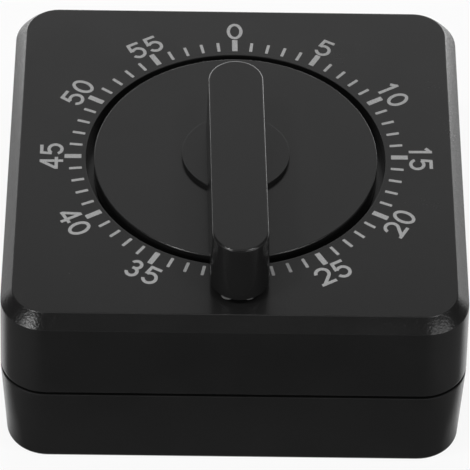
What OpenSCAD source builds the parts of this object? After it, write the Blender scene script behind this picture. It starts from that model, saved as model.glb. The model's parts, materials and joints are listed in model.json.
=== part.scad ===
/* [Case] */
// Width and depth of the square case under its bevel
case_w = 70; // [68:0.5:80]
// Radius of the upright corners under the bevel
corner_r = 6.8; // [5.5:0.1:8]
// Height of the upper shell
upper_h = 15.3; // [15:0.1:20]
// Height of the rear cover
cover_h = 14.5; // [13.5:0.1:20]
// Open seam between the two shells
seam_gap = 0.6; // [0.3:0.1:1.2]
// How far the top edge bevel runs inwards
bevel_run = 1.8; // [0.8:0.1:2.4]
// How far the top edge bevel drops
bevel_drop = 2.1; // [0.8:0.1:2.6]
// How far the side walls flare out between the bevel and the seam
seam_flare = 0.3; // [0:0.05:0.5]
// How far the cover tapers in between the seam and its foot
cover_taper = 0.6; // [0.1:0.1:1.2]
// Round on the foot edge of the cover
foot_round = 0.4; // [0.2:0.1:0.8]
// Side wall of the shells
wall = 2; // [1.6:0.1:2.4]
// Top wall of the upper shell
top_t = 2.2; // [1.8:0.1:2.6]
// Floor of the rear cover
floor_t = 2; // [1.6:0.1:2.4]
// Thickness of the lip that locates the cover
lip_t = 1; // [0.8:0.1:1.4]
// Height of the lip inside the upper shell
lip_h = 2; // [1:0.1:3]

/* [Dial] */
// Radius of the turning disc
disc_r = 21.8; // [21:0.1:22.4]
// Width of the open groove round the disc
groove_w = 1.25; // [0.6:0.05:1.6]
// Depth of the well
well_depth = 3.1; // [2.6:0.1:3.6]
// Floor of the well
well_floor_t = 1.4; // [1.2:0.1:1.8]
// Wall round the well
well_wall = 1.4; // [1.2:0.1:1.8]
// Height of the disc with its skirt
disc_h = 3; // [2.6:0.1:3.2]
// Top plate of the disc
disc_t = 1.6; // [1.2:0.1:1.8]
// How far the disc stands above the top face
disc_proud = 0.3; // [0.1:0.1:0.6]
// Edge round of the disc
disc_round = 0.3; // [0.1:0.1:0.5]
// Turn of the dial clockwise from rest to its stop, in degrees
turn_up = 174; // [150:1:174]
// Turn of the dial back from rest to zero, in degrees
turn_back = 180; // [150:1:180]

/* [Pointer bar] */
// Radius of the round foot under the bar
hub_r = 8.3; // [7.5:0.1:10]
// Height of the round foot
hub_h = 0.7; // [0.4:0.1:1.2]
// Width of the bar at its foot
bar_w = 8.9; // [8.4:0.1:10]
// Draft of each side of the bar between its foot and its top
bar_draft = 0.24; // [0.1:0.02:0.4]
// Height of the bar above its foot
bar_h = 10.2; // [8:0.1:13]
// Reach of the long end from the dial axis
bar_tip = 31.2; // [26:0.1:33]
// Reach of the short end from the dial axis
bar_tail = 10.1; // [9.5:0.1:12]
// Edge round on the top of the bar
bar_round = 0.4; // [0.2:0.1:0.8]
// Wall of the hollow long end
bar_wall = 1.6; // [1.2:0.1:2]
// Turn of the bar off the half-hour mark in the modelled pose, in degrees
bar_turn = 1.4; // [0:0.1:3]

/* [Movement frame] */
// Distance of the plates' edges from the sides of the case
plate_inset = 9; // [8.5:0.1:10]
// Corner radius of the plates
plate_r = 6; // [5:0.5:8]
// Thickness of the plates
plate_t = 0.8; // [0.6:0.1:1]
// Clear height between the plates
plate_gap = 9.2; // [9.2:0.1:10]
// Clear height between the front plate and the well floor
cam_space = 2.5; // [2.3:0.1:3]
// Radius of the pillars
pillar_r = 2; // [1.7:0.1:2.4]
// Radius of the main arbor
arbor_r = 2.5; // [2.2:0.1:2.8]
// Depth of the flat on the main arbor
arbor_flat = 0.7; // [0.4:0.1:0.9]
// Radius of the thin train arbors
staff_r = 0.8; // [0.7:0.05:0.9]
// Radius of the train pivots
pivot_r = 0.5; // [0.4:0.05:0.6]

/* [Train] */
// Teeth of the main wheel
main_teeth = 84; // [80:1:88]
// Teeth of the second wheel
second_teeth = 72; // [66:1:76]
// Teeth of the third wheel
third_teeth = 60; // [54:1:64]
// Leaves of each pinion
leaves = 8; // [8:1:9]
// Module of the main wheel
main_m = 0.4; // [0.39:0.005:0.41]
// Module of the second wheel
second_m = 0.35; // [0.34:0.005:0.36]
// Module of the third wheel
third_m = 0.3; // [0.29:0.005:0.31]
// Thickness of the wheels
wheel_t = 0.6; // [0.5:0.05:0.7]
// Teeth of the escape wheel
escape_teeth = 18; // [15:1:20]
// Radius of the escape wheel
escape_r = 5; // [4.6:0.1:5.2]
// Swing of the pallet lever to each side, in degrees
pallet_swing = 3; // [1:0.5:3]

/* [Spring] */
// Turns of the mainspring
spring_turns = 7; // [5:1:8]
// Thickness of the spring strip
spring_t = 0.35; // [0.25:0.05:0.45]
// Width of the spring strip
spring_h = 3.2; // [2.6:0.1:3.2]
// Outer radius of the mainspring
spring_r = 10.6; // [9.6:0.1:11]

/* [Bell and hammer] */
// Radius of the bell's rim
bell_r = 22; // [21:0.1:23]
// Wall of the bell
bell_t = 0.7; // [0.5:0.1:0.9]
// Gap between the bell and the cover floor
bell_gap = 2.4; // [2.2:0.1:3]
// Radius of the hammer head
head_r = 2.2; // [1.6:0.1:2.4]
// Radius of the trip cam
cam_r = 9; // [8:0.1:9.5]

/* [Fasteners] */
// Radius of the cover screw's head
cover_head_r = 2.5; // [2.2:0.1:2.8]
// Radius of the cover screw's shank
cover_shank_r = 1.3; // [1:0.05:1.4]
// Radius of the small machine screw's head
small_head_r = 1.9; // [1.6:0.1:2.1]
// Radius of the small machine screw's shank
small_shank_r = 0.9; // [0.7:0.05:1]

/* [Hidden] */
$fn = 64;

// Clearances: pieces that are pressed together, pieces that turn, pieces that only pass
seat = 0.01;
run = 0.05;
pass = 0.3;
// Overlap of a cutting tool past the face that it cuts
past = 1;

// Heights of the case
seam_z = cover_h + seam_gap;
face_z = seam_z + upper_h;
half = case_w / 2;
lip_inset = wall + run;
lip_in = lip_inset + lip_t;
lip_z = seam_z + lip_h;

// Heights of the dial
disc_top = face_z + disc_proud;
disc_low = disc_top - disc_h;
disc_under = disc_top - disc_t;
well_z = face_z - well_depth;
ceiling_z = well_z - well_floor_t;
well_r = disc_r + groove_w;
skirt_t = 1.6;
bar_low = disc_top + hub_h;
bar_top = bar_low + bar_h;
arbor_bite = 6;
arbor_top = bar_low + arbor_bite;

// Stop between the dial and the well
stop_angle = 225;
stop_w = 0.8;
stop_len = 2.6;
stop_rest = stop_angle - turn_back - (360 - turn_back - turn_up) / 2;
stop_out = disc_r - skirt_t - pass;

// Heights of the movement
front_z1 = ceiling_z - cam_space;
front_z0 = front_z1 - plate_t;
back_z1 = front_z0 - plate_gap;
back_z0 = back_z1 - plate_t;
plate_half = half - plate_inset;
shake = 0.15;
level_gap = 0.7;
hub_drop = 0.4;
third_z = back_z1 + shake + hub_drop;
second_z = third_z + wheel_t + level_gap;
main_t = 0.8;
main_z = second_z + wheel_t + hub_drop + level_gap;
click_z = main_z + main_t;
click_t = 0.7;
spring_z = click_z + click_t + level_gap;
escape_z = spring_z + level_gap;
lever_z = escape_z + wheel_t + level_gap;
cam_t = 0.8;
bush_flange_t = 0.6;
cam_z = front_z1 + bush_flange_t + pass;
flat_z = front_z1 + bush_flange_t + run;

// Bell and hammer heights
rim_drop = 2;
rim_z = back_z0 - rim_drop;
bell_low = floor_t + bell_gap;
bell_deep = rim_z - bell_low;
arm_t = 1;
arm_z = back_z0 - pass - arm_t;
head_dip = 1.6;
head_gap = 0.5;
head_turn = 31.5;

// Tooth form, in modules, with the flank angle
flank = 25;
wheel_add = 0.7;
wheel_ded = 1.2;
leaf_add = 0.9;
leaf_ded = 0.95;
thin = 0.04;
windows = 5;
wheel_rim = 0.9;
wheel_hub = 1.2;
leaf_over = 0.3;

// Places of the train's arbors, all at one distance from the dial axis
second_a = 45;
reach_2 = main_m * (main_teeth + leaves) / 2;
reach_3 = second_m * (second_teeth + leaves) / 2;
reach_4 = third_m * (third_teeth + leaves) / 2;
pallet_off = 2.2;
pallet_reach = escape_r + pallet_off;
third_a = second_a + chord_angle(reach_3);
escape_a = third_a + chord_angle(reach_4);
pallet_a = escape_a + chord_angle(pallet_reach);
second_p = polar(reach_2, second_a);
third_p = polar(reach_2, third_a);
escape_p = polar(reach_2, escape_a);
pallet_p = polar(reach_2, pallet_a);
mesh_3 = aim(second_p, third_p);
mesh_4 = aim(third_p, escape_p);
leaf_gap = 180 + 180 / leaves;

// Hammer: its arbor, the star that drives it and the cam that holds it off
star_r = 3.6;
star_teeth = 14;
star_lean = 0.6;
tooth_deep = 1;
tip_land = 0.1;
star_z = escape_z;
star_t = 0.8;
lever_w = 1.4;
lever_boss = 1.9;
arm_w = 2;
beak = 0.9;
beak_w = 1.2;
rest_gap = 0.15;
leaf_t = 0.25;
leaf_off = 4.5;
leaf_reach = 12;
leaf_foot_r = 1.6;
hammer_off = 1.2;
hammer_clear = second_m * (second_teeth / 2 + wheel_add) + staff_r + hammer_off;
hammer_a = second_a - chord_angle(hammer_clear);
hammer_p = polar(reach_2, hammer_a);
follow_r = cam_r + rest_gap + beak + lever_w / 2;
follow_p = tangent([0, 0], hammer_p, follow_r);
verge_r = star_r + rest_gap + beak + lever_w / 2;
verge_p = tangent(second_p, hammer_p, verge_r);
head_p = polar(bell_r - bell_t - head_gap - head_r, hammer_a + head_turn);

// Pallet pins beside the escape wheel
pin_r = 0.25;
pin_spread = 50;
pin_eye = 0.9;
weight_reach = 4.2;
weight_r = 1.8;
pin_gap = rest_gap + pallet_reach * sin(pallet_swing);
pin_out = escape_r + pin_r + pin_gap;
pallet_dir = aim(escape_p, pallet_p);

// Fixings
boss_wall = 1.6;
post_r = cover_head_r + boss_wall;
post_inset = 7.8;
post_p = half - post_inset;
boss_r = cover_shank_r + boss_wall;
join_drop = 2.3;
join_z = cover_h - join_drop;
head_seat_z = 6;
cover_head_t = 1.8;
cover_bite = 7;
small_head_t = 1.2;
small_boss_r = small_shank_r + boss_wall;
fix_inset = 4.5;
fix_p = plate_half - fix_inset;
fix_bite = 4.2;
pillar_inset = 3;
pillar_in = plate_half - pillar_inset;
pillar_off = 10;
escape_pillar = escape_p + polar(escape_r + pillar_r + 2 * pass, 135);
pillars = [[pillar_in, -pillar_off], [pillar_off, -pillar_in], [-pillar_in, -pillar_off], escape_pillar];
tenon_r = 1.2;
bell_post_r = 3;
stud_r = 0.8;
stud_a = 225;
stud_p = polar(spring_r + 2 * spring_t + stud_r + pass, stud_a);
bush_wall = 1.1;
bush_r = arbor_r + bush_wall;
bush_flange_r = bush_r + bush_wall;
foot_pivot_r = 1.5;
slot_w = 2.2;
slot_pitch = 5;
slot_len = 34;
slot_step = 5;
ratchet_r = 2 * arbor_r;
ratchet_teeth = 12;
ratchet_lean = 0.8;
click_w = 0.7;
click_reach = 4.5;
click_a = 60;
nose_a = 105;

function polar(r, a) = [r * cos(a), r * sin(a)];
function aim(p, q) = atan2(q[1] - p[1], q[0] - p[0]);
function chord_angle(c) = 2 * asin(c / 2 / reach_2);
function tangent(centre, from, r) =
  let (a = aim(centre, from) - acos(r / norm(from - centre)))
  centre + polar(r, a);

// Involute tooth: half its angle at radius r
function involute(r, base) =
  let (a = acos(min(1, base / r)))
  tan(a) * 180 / PI - a;
function tooth_half(r, pitch, base, teeth) =
  90 / teeth - thin / 2 / pitch * 180 / PI + involute(pitch, base) - involute(max(r, base), base);

// Quarter-round points of radius r about c, from angle a0 to a1
function arc(c, r, a0, a1, steps = 4) =
  [for (i = [0 : steps]) c + polar(r, a0 + (a1 - a0) * i / steps)];

module at(p, z = 0) translate([p[0], p[1], z]) children();

module gear_outline(m, teeth, add, ded) {
  pitch = m * teeth / 2;
  base = pitch * cos(flank);
  root = pitch - ded * m;
  tip = pitch + add * m;
  foot = max(root, base);
  radii = concat(root < base ? [root] : [], [for (k = [0 : 2]) foot + (tip - foot) * k / 2]);
  n = len(radii) - 1;
  polygon([for (i = [0 : teeth - 1])
    let (t = i * 360 / teeth)
    for (k = [0 : 2 * n + 1])
      let (r = k <= n ? radii[k] : radii[2 * n + 1 - k], h = tooth_half(r, pitch, base, teeth))
      polar(r, t + (k <= n ? -h : h))]);
}

// Wheel with slanting pointed teeth
module ratchet_outline(r, root, teeth, lean) {
  step = 360 / teeth;
  polygon([for (i = [0 : teeth - 1], k = [0 : 2])
    polar(k == 0 ? root : r, i * step + (k == 0 ? 0 : step * (k == 1 ? lean : lean + tip_land)))]);
}

// Wheel with round windows between its rim and a hub that stands below it
module wheel(m, teeth, t, bore) {
  rim = m * teeth / 2 - wheel_ded * m;
  hub = bore + wheel_hub;
  middle = (rim + hub) / 2;
  window_r = min((rim - hub) / 2, middle * sin(180 / windows)) - wheel_rim;
  difference() {
    union() {
      linear_extrude(t) gear_outline(m, teeth, wheel_add, wheel_ded);
      translate([0, 0, -hub_drop]) cylinder(r = hub, h = hub_drop + t / 2);
    }
    translate([0, 0, -hub_drop - past]) cylinder(r = bore, h = hub_drop + t + 2 * past);
    for (i = [1 : windows])
      rotate(i * 360 / windows) translate([middle, 0, -past])
        cylinder(r = window_r, h = t + 2 * past);
  }
}

// Thin arbor that turns in both plates
module staff() {
  translate([0, 0, back_z0 + shake]) cylinder(r = pivot_r, h = front_z1 - back_z0 - 2 * shake);
  translate([0, 0, back_z1 + shake]) cylinder(r = staff_r, h = plate_gap - 2 * shake);
}

// Pinion a little longer than the wheel at height z that it meets
module pinion(m, z, t, turn) {
  translate([0, 0, z - leaf_over]) rotate(turn)
    linear_extrude(t + 2 * leaf_over) gear_outline(m, leaves, leaf_add, leaf_ded);
}

// Flat link from p to q with a drilled boss at p
module link(p, q, w, z, t, boss, bore, tail = 0) {
  at(p, z) difference() {
    union() {
      cylinder(r = boss, h = t);
      rotate(aim(p, q)) translate([0, -w / 2, 0]) cube([norm(q - p) + tail, w, t]);
    }
    translate([0, 0, -past]) cylinder(r = bore, h = t + 2 * past);
  }
}

// Filled rounded square whose outer side follows a profile of [inset, height] points
module slab(side, r, profile) {
  low = profile[0][1];
  high = profile[len(profile) - 1][1];
  core = side - r;
  outline = concat([[0, low]], [for (p = profile) [r - p[0], p[1]]], [[0, high]]);
  translate([-core, -core, low]) cube([2 * core, 2 * core, high - low]);
  for (k = [0 : 3])
    rotate(k * 90) {
      translate([core, core, 0]) rotate_extrude(angle = 90) polygon(outline);
      translate([core, core, 0]) rotate([90, 0, 0]) linear_extrude(2 * core) polygon(outline);
    }
}

module four(p) {
  for (x = [-1, 1], y = [-1, 1]) translate([x * p, y * p, 0]) children();
}

// Main arbor's outline with its flat, widened by a clearance
module flatted(clear) {
  difference() {
    circle(r = arbor_r + clear);
    translate([arbor_r - arbor_flat + clear, -2 * arbor_r]) square(4 * arbor_r);
  }
}

// Screw with a cross recess, head downwards, its seat at z = 0
module screw(head_r, head_t, shank_r, shank_h) {
  cut_w = head_r / 4;
  cut_l = head_r * 1.2;
  difference() {
    translate([0, 0, -head_t]) cylinder(r = head_r, h = head_t);
    for (a = [0, 90])
      rotate(a) translate([-cut_l / 2, -cut_w / 2, -head_t - past]) cube([cut_l, cut_w, past + head_t / 2]);
  }
  cylinder(r = shank_r, h = shank_h);
}

module upper_shell() {
  color("#2b2b2d") {
    difference() {
      slab(half, corner_r, [[-seam_flare, seam_z], [0, face_z - bevel_drop], [bevel_run, face_z]]);
      slab(half - wall, corner_r - wall, [[0, seam_z - past], [0, face_z - top_t]]);
      translate([0, 0, face_z - top_t - past]) cylinder(r = well_r, h = top_t + 2 * past);
    }
    difference() {
      translate([0, 0, ceiling_z]) cylinder(r = well_r + well_wall, h = face_z - top_t - ceiling_z);
      translate([0, 0, well_z]) cylinder(r = well_r, h = well_depth);
      translate([0, 0, ceiling_z - past]) cylinder(r = bush_flange_r + pass, h = well_floor_t + 2 * past);
    }
    rotate(stop_angle) translate([stop_out - stop_len, -stop_w / 2, well_z - well_floor_t / 2])
      cube([stop_len, stop_w, disc_under - pass - well_z + well_floor_t / 2]);
    four(fix_p) difference() {
      translate([0, 0, front_z1]) cylinder(r = small_boss_r, h = face_z - top_t - front_z1);
      translate([0, 0, front_z1 - past]) cylinder(r = small_shank_r + seat, h = fix_bite + past);
    }
    four(post_p) difference() {
      translate([0, 0, join_z]) cylinder(r = boss_r, h = face_z - top_t - join_z);
      translate([0, 0, join_z - past]) cylinder(r = cover_shank_r + seat, h = cover_bite + 2 * past);
    }
  }
}

module rear_cover() {
  foot = arc([cover_taper - seam_flare + foot_round, foot_round], foot_round, 270, 180);
  rim = [[-seam_flare, cover_h], [lip_inset, cover_h], [lip_inset, lip_z]];
  color("#29292b") {
    difference() {
      slab(half, corner_r, concat(foot, rim));
      slab(half - lip_in, corner_r - lip_in, [[0, floor_t], [0, lip_z + past]]);
      four(post_p) translate([0, 0, -past]) cylinder(r = cover_head_r + pass, h = past + head_seat_z);
      for (i = [-2 : 2])
        let (l = slot_len - slot_step * abs(i))
        translate([-l / 2, i * slot_pitch - slot_w / 2, -past]) cube([l, slot_w, floor_t + 2 * past]);
    }
    four(post_p) difference() {
      translate([0, 0, floor_t]) cylinder(r = post_r, h = join_z - floor_t);
      translate([0, 0, -past]) cylinder(r = cover_head_r + pass, h = past + head_seat_z);
      translate([0, 0, -past]) cylinder(r = cover_shank_r + run, h = join_z + 2 * past);
    }
  }
}

module cover_screws() {
  color("#b9bcc0") four(post_p) translate([0, 0, head_seat_z])
    screw(cover_head_r, cover_head_t, cover_shank_r, join_z - head_seat_z + cover_bite);
}

module dial_disc() {
  edge = arc([disc_r - disc_round, disc_top - disc_round], disc_round, 0, 90);
  boss = 2 * arbor_r;
  color("#343436") rotate(bar_turn) difference() {
    union() {
      rotate_extrude() polygon(concat(
        [[disc_r - skirt_t, disc_low], [disc_r, disc_low]], edge,
        [[0, disc_top], [0, disc_low], [boss, disc_low], [boss, disc_under],
         [disc_r - skirt_t, disc_under]]));
      rotate(stop_rest - bar_turn) translate([stop_out - stop_len, -stop_w / 2, disc_low])
        cube([stop_len + pass + skirt_t / 2, stop_w, disc_h - disc_t / 2]);
    }
    translate([0, 0, disc_low - past]) linear_extrude(disc_h + 2 * past) flatted(seat);
  }
}

// Bar with round ends, set in by a margin, up to the height top
module bar_solid(margin, low, top, round) {
  foot = bar_w / 2 - margin;
  w = foot - bar_draft;
  side = concat([[foot, low]], arc([w - round, top - round], round, 0, 90));
  half_side = concat([[0, low]], side, [[0, top]]);
  tip = bar_tip - bar_w / 2;
  tail = bar_tail - bar_w / 2;
  for (m = [0, 1]) mirror([m, 0, 0])
    translate([0, tail, 0]) rotate([90, 0, 0]) linear_extrude(tail + tip) polygon(half_side);
  translate([0, tail, 0]) rotate_extrude(angle = 180) polygon(half_side);
  translate([0, -tip, 0]) rotate(180) rotate_extrude(angle = 180) polygon(half_side);
}

module pointer_bar() {
  color("#333335") rotate(bar_turn) difference() {
    union() {
      bar_solid(0, bar_low, bar_top, bar_round);
      translate([0, 0, disc_top]) cylinder(r = hub_r, h = hub_h);
      translate([0, 0, disc_top]) cylinder(r = bar_w / 2 - bar_round, h = hub_h + bar_h / 2);
    }
    difference() {
      bar_solid(bar_wall, bar_low - past, bar_top - bar_wall, bar_round);
      translate([-case_w / 2, -hub_r - bar_wall, bar_low - 2 * past])
        cube([case_w, case_w, bar_h + 3 * past]);
    }
    translate([0, 0, disc_top - past]) linear_extrude(arbor_top + seat - disc_top + past) flatted(seat);
  }
}

module main_arbor() {
  color("#c9ccd0") {
    translate([0, 0, back_z0 + shake]) cylinder(r = foot_pivot_r, h = plate_t + shake);
    difference() {
      translate([0, 0, back_z1 + shake]) cylinder(r = arbor_r, h = arbor_top - back_z1 - shake);
      rotate(bar_turn) translate([arbor_r - arbor_flat, -2 * arbor_r, flat_z])
        cube([2 * arbor_r, 4 * arbor_r, arbor_top - flat_z + past]);
    }
  }
}

module main_wheel() {
  color("#c9a24a") translate([0, 0, main_z]) rotate(second_a)
    wheel(main_m, main_teeth, main_t, arbor_r + seat);
}

module ratchet_wheel() {
  color("#b8bbc0") translate([0, 0, click_z]) difference() {
    linear_extrude(click_t)
      ratchet_outline(ratchet_r, ratchet_r - tooth_deep, ratchet_teeth, ratchet_lean);
    translate([0, 0, -past]) cylinder(r = arbor_r + seat, h = click_t + 2 * past);
  }
}

module click() {
  pivot = polar(ratchet_r + click_reach, click_a);
  nose = polar(ratchet_r + click_w, nose_a);
  color("#d0b060") at(pivot, click_z) {
    cylinder(r = 2 * click_w, h = click_t);
    rotate(aim(pivot, nose)) translate([0, -click_w / 2, 0])
      cube([norm(nose - pivot), click_w, click_t]);
  }
}

module trip_cam() {
  notch_a = aim([0, 0], follow_p) + turn_back;
  notch_w = beak_w + 4 * pass;
  color("#c9a24a") translate([0, 0, cam_z]) difference() {
    cylinder(r = cam_r, h = cam_t);
    translate([0, 0, -past]) rotate(bar_turn) linear_extrude(cam_t + 2 * past) flatted(seat);
    rotate(notch_a) translate([cam_r - beak - pass, -notch_w / 2, -past])
      cube([2 * beak, notch_w, cam_t + 2 * past]);
  }
}

module mainspring() {
  inner = arbor_r + run + spring_t / 2;
  coil_steps = 24;
  steps = coil_steps * spring_turns;
  eye = stud_r + seat + 2 * spring_t;
  path = [for (i = [0 : steps])
    polar(inner + (spring_r - inner) * i / steps, stud_a - 360 * (steps - i) / coil_steps)];
  color("#5d6472") translate([0, 0, spring_z]) linear_extrude(spring_h) {
    polygon(concat([for (p = path) p + polar(spring_t / 2, aim([0, 0], p))],
                   [for (i = [steps : -1 : 0]) path[i] - polar(spring_t / 2, aim([0, 0], path[i]))]));
    difference() {
      circle(r = inner + spring_t / 2);
      circle(r = inner - spring_t / 2);
    }
    difference() {
      union() {
        at(stud_p) circle(r = eye);
        rotate(stud_a) translate([spring_r - spring_t / 2, -spring_t])
          square([norm(stud_p) - spring_r, spring_t * 2]);
      }
      at(stud_p) circle(r = stud_r + seat);
    }
  }
}

module spring_stud() {
  color("#c9ccd0") at(stud_p, spring_z) cylinder(r = stud_r, h = front_z1 - spring_z);
}

module plate(z, holes) {
  translate([0, 0, z]) difference() {
    slab(plate_half, plate_r, [[0, 0], [0, plate_t]]);
    for (h = holes) at(h[0], -past) cylinder(r = h[1], h = plate_t + 2 * past);
  }
}

function staff_holes() = [for (p = [second_p, third_p, escape_p, pallet_p]) [p, pivot_r + run]];
function hammer_hole() = [[hammer_p, staff_r + run]];
function fix_holes(r) = [for (x = [-1, 1], y = [-1, 1]) [[x * fix_p, y * fix_p], r]];

module front_plate() {
  color("#cfd2d6") plate(front_z0, concat(staff_holes(), hammer_hole(), fix_holes(small_shank_r + run),
    [for (p = pillars) [p, tenon_r + seat]], [[stud_p, stud_r + seat], [[0, 0], bush_r + seat]]));
}

module back_plate() {
  color("#cfd2d6") plate(back_z0, concat(staff_holes(), hammer_hole(),
    [for (p = pillars) [p, small_shank_r + run]], [[[0, 0], foot_pivot_r + run]]));
}

module plate_pillars() {
  color("#d6b45c") for (p = pillars) at(p, back_z1) difference() {
    union() {
      cylinder(r = pillar_r, h = plate_gap);
      cylinder(r = tenon_r, h = plate_gap + plate_t);
    }
    translate([0, 0, -past]) cylinder(r = small_shank_r + seat, h = past + plate_gap / 2);
  }
}

module pillar_screws() {
  color("#b9bcc0") for (p = pillars) at(p, back_z0)
    screw(small_head_r, small_head_t, small_shank_r, plate_t + plate_gap / 3);
}

module movement_screws() {
  color("#b9bcc0") four(fix_p) translate([0, 0, front_z0])
    screw(small_head_r, small_head_t, small_shank_r, plate_t + fix_bite - pass);
}

module arbor_bush() {
  color("#d6b45c") difference() {
    union() {
      translate([0, 0, front_z0]) cylinder(r = bush_r, h = plate_t);
      translate([0, 0, front_z1]) cylinder(r = bush_flange_r, h = bush_flange_t);
    }
    translate([0, 0, front_z0 - past]) cylinder(r = arbor_r + run, h = plate_t + bush_flange_t + 2 * past);
  }
}

module second_wheel() {
  color("#c9a24a") at(second_p, second_z) rotate(mesh_3)
    wheel(second_m, second_teeth, wheel_t, staff_r + seat);
}

module second_arbor() {
  color("#c9ccd0") at(second_p) {
    staff();
    pinion(main_m, main_z, main_t, second_a + leaf_gap);
  }
}

module ringing_star() {
  color("#c9a24a") at(second_p, star_z) difference() {
    linear_extrude(star_t) ratchet_outline(star_r, star_r - tooth_deep, star_teeth, star_lean);
    translate([0, 0, -past]) cylinder(r = staff_r + seat, h = star_t + 2 * past);
  }
}

module third_wheel() {
  color("#c9a24a") at(third_p, third_z) rotate(mesh_4)
    wheel(third_m, third_teeth, wheel_t, staff_r + seat);
}

module third_arbor() {
  color("#c9ccd0") at(third_p) {
    staff();
    pinion(second_m, second_z, wheel_t, mesh_3 + leaf_gap);
  }
}

module escape_wheel() {
  color("#c9a24a") at(escape_p, escape_z) difference() {
    linear_extrude(wheel_t) ratchet_outline(escape_r, escape_r - tooth_deep, escape_teeth, star_lean);
    translate([0, 0, -past]) cylinder(r = staff_r + seat, h = wheel_t + 2 * past);
  }
}

module escape_arbor() {
  color("#c9ccd0") at(escape_p) {
    staff();
    pinion(third_m, third_z, wheel_t, mesh_4 + leaf_gap);
  }
}

function pin_place(s) = escape_p + polar(pin_out, pallet_dir + s * pin_spread);

module pallet_lever() {
  weight_p = pallet_p + polar(weight_reach, pallet_dir);
  color("#c9a24a") difference() {
    union() {
      for (s = [-1, 1]) {
        link(pallet_p, pin_place(s), lever_w, lever_z, wheel_t, lever_boss, staff_r + seat);
        at(pin_place(s), lever_z) cylinder(r = pin_eye, h = wheel_t);
      }
      link(pallet_p, weight_p, lever_w, lever_z, wheel_t, lever_boss, staff_r + seat);
      at(weight_p, lever_z) cylinder(r = weight_r, h = wheel_t);
    }
    for (s = [-1, 1]) at(pin_place(s), lever_z - past) cylinder(r = pin_r + seat, h = wheel_t + 2 * past);
  }
}

module pallet_pins() {
  color("#c9ccd0") for (s = [-1, 1])
    at(pin_place(s), escape_z - leaf_over) cylinder(r = pin_r, h = lever_z + wheel_t - escape_z + leaf_over);
}

module pallet_arbor() {
  color("#c9ccd0") at(pallet_p) staff();
}

module hammer_arbor() {
  color("#c9ccd0") at(hammer_p, arm_z) cylinder(r = staff_r, h = cam_z + cam_t - arm_z);
}

// Lever on the hammer arbor with a beak that faces a round piece
module beaked(tip, centre, z, t) {
  link(hammer_p, tip, lever_w, z, t, lever_boss, staff_r + seat, beak_w / 2);
  at(tip, z) rotate(aim(tip, centre)) translate([0, -beak_w / 2, 0]) cube([beak + lever_w / 2, beak_w, t]);
}

module hammer_verge() {
  color("#b8bbc0") beaked(verge_p, second_p, star_z, star_t);
}

module cam_follower() {
  color("#b8bbc0") beaked(follow_p, [0, 0], cam_z, cam_t);
}

module hammer_arm() {
  color("#b8bbc0") difference() {
    link(hammer_p, head_p, arm_w, arm_z, arm_t, lever_boss, staff_r + seat, head_r);
    at(head_p, arm_z - past) cylinder(r = tenon_r / 2 + seat, h = arm_t + 2 * past);
  }
}

module hammer_head() {
  color("#c9ccd0") at(head_p) {
    translate([0, 0, rim_z - head_dip]) cylinder(r = head_r, h = arm_z - rim_z + head_dip);
    translate([0, 0, arm_z]) cylinder(r = tenon_r / 2, h = arm_t);
  }
}

module hammer_spring() {
  u = aim(hammer_p, follow_p);
  out = u + 90;
  foot_p = hammer_p + polar(-lever_boss, u) + polar(leaf_off, out);
  tip_p = hammer_p + polar(leaf_reach, u) + polar(lever_w / 2 + pass, out);
  color("#c9ccd0") at(foot_p, front_z1) {
    cylinder(r = leaf_foot_r, h = cam_z + cam_t - front_z1);
    rotate(aim(foot_p, tip_p)) translate([0, 0, cam_z - front_z1])
      cube([norm(tip_p - foot_p), leaf_t, cam_t]);
  }
}

module bell() {
  flat = bell_r - bell_deep;
  c = [flat, rim_z];
  bore = small_shank_r + run;
  color("#c9ccd0") rotate_extrude() polygon(concat(
    [[bore, bell_low]], arc(c, bell_deep, 270, 360, 8),
    arc(c, bell_deep - bell_t, 360, 270, 8), [[bore, bell_low + bell_t]]));
}

module bell_post() {
  color("#c9ccd0") translate([0, 0, bell_low + bell_t]) difference() {
    cylinder(r = bell_post_r, h = back_z0 - bell_low - bell_t);
    translate([0, 0, -past]) cylinder(r = small_shank_r + seat, h = past + bell_deep / 2 + pass);
  }
}

module bell_screw() {
  color("#b9bcc0") translate([0, 0, bell_low])
    screw(small_head_r, small_head_t, small_shank_r, bell_t + bell_deep / 2);
}

upper_shell();
rear_cover();
cover_screws();
dial_disc();
pointer_bar();
main_arbor();
main_wheel();
ratchet_wheel();
click();
trip_cam();
mainspring();
spring_stud();
front_plate();
back_plate();
plate_pillars();
pillar_screws();
movement_screws();
arbor_bush();
second_wheel();
second_arbor();
ringing_star();
third_wheel();
third_arbor();
escape_wheel();
escape_arbor();
pallet_lever();
pallet_pins();
pallet_arbor();
hammer_arbor();
hammer_verge();
cam_follower();
hammer_arm();
hammer_head();
hammer_spring();
bell();
bell_post();
bell_screw();
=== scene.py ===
import json
import math
import bmesh
import bpy
from mathutils import Matrix, Vector


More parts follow.
